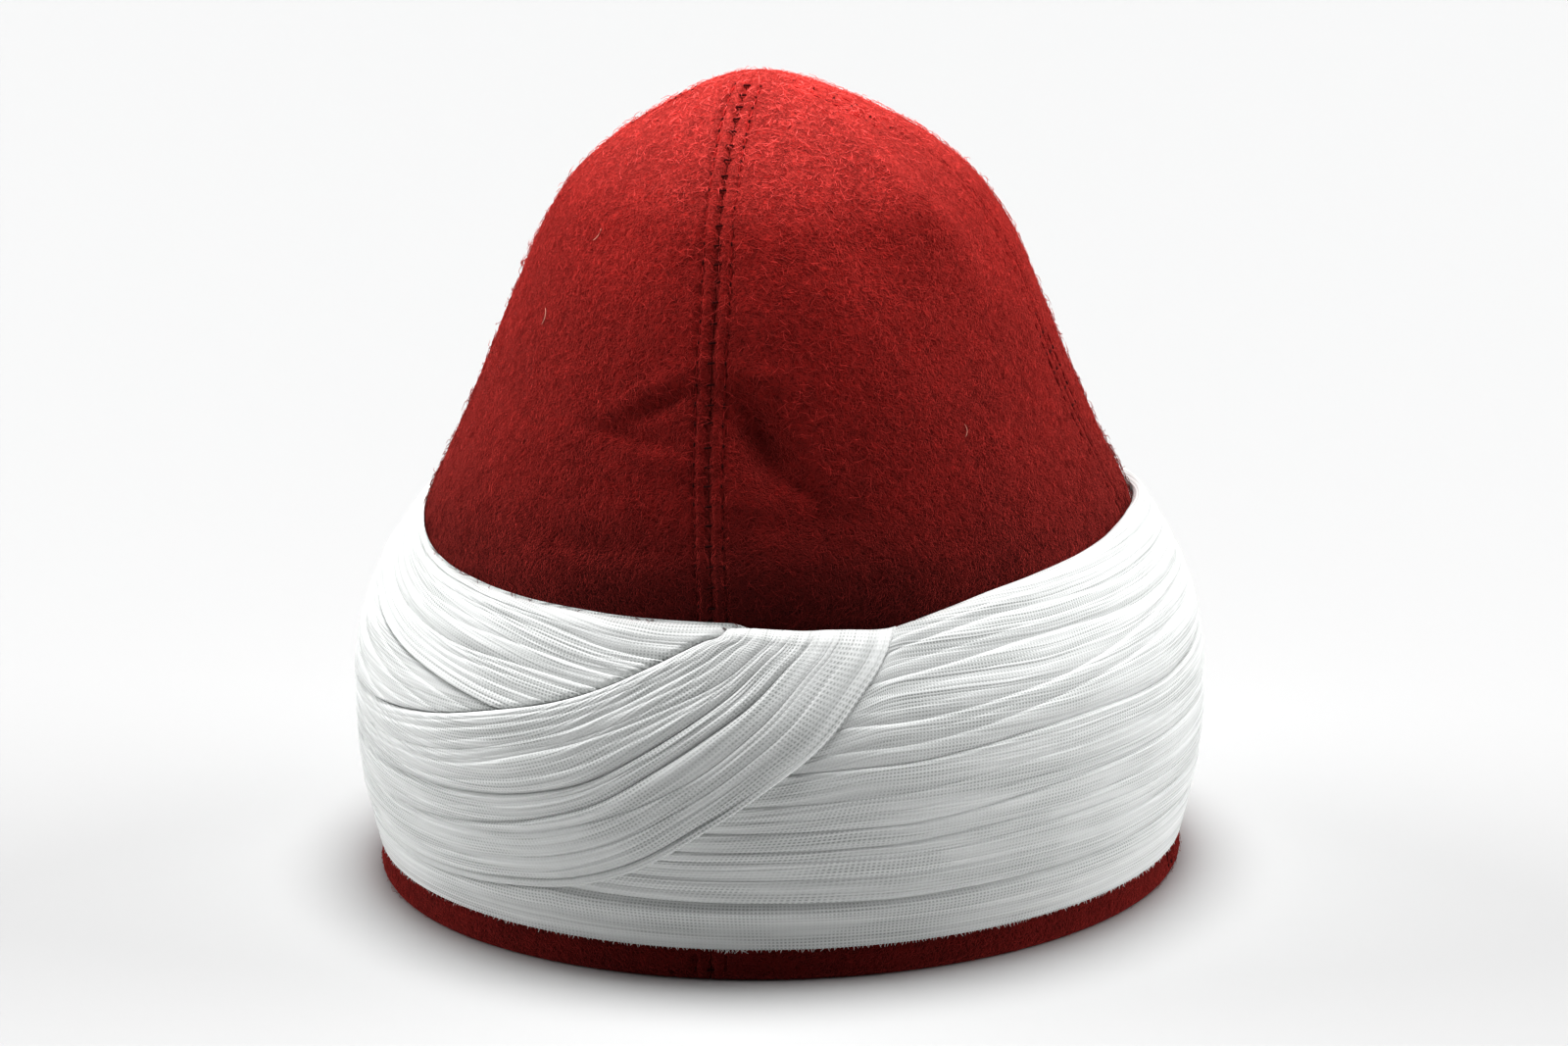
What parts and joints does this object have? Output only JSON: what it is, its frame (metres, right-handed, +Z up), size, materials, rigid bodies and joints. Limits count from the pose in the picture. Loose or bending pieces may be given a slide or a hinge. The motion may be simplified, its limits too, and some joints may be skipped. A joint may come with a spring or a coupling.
{
  "type": "ready-wound turban",
  "caption": "Tall round-topped red felt cap sewn of gores, with pleated white muslin wound round its lower half and a sash crossing over the front.",
  "frame": {"origin": "centre of the foot of the cap's rim, on the surface it rests on", "axes": "+Z up through the crown; -Y towards the front, where the front seam and the crossing sash are; +X towards the right of the view from the front"},
  "size_m": [0.2037, 0.2057, 0.1935],
  "materials": {
    "red_felt": "fuzzy pressed felt, matte",
    "white_muslin": "open plain-weave cotton muslin, matte"
  },
  "bodies": {
    "root": {"felt_gore_front_right": "red_felt", "felt_gore_back_right": "red_felt", "felt_gore_back_left": "red_felt", "felt_gore_front_left": "red_felt", "muslin_hem_turn": "white_muslin", "muslin_low_under_turn": "white_muslin", "muslin_high_under_turn": "white_muslin", "muslin_outer_turn": "white_muslin"}
  },
  "joints": []
}
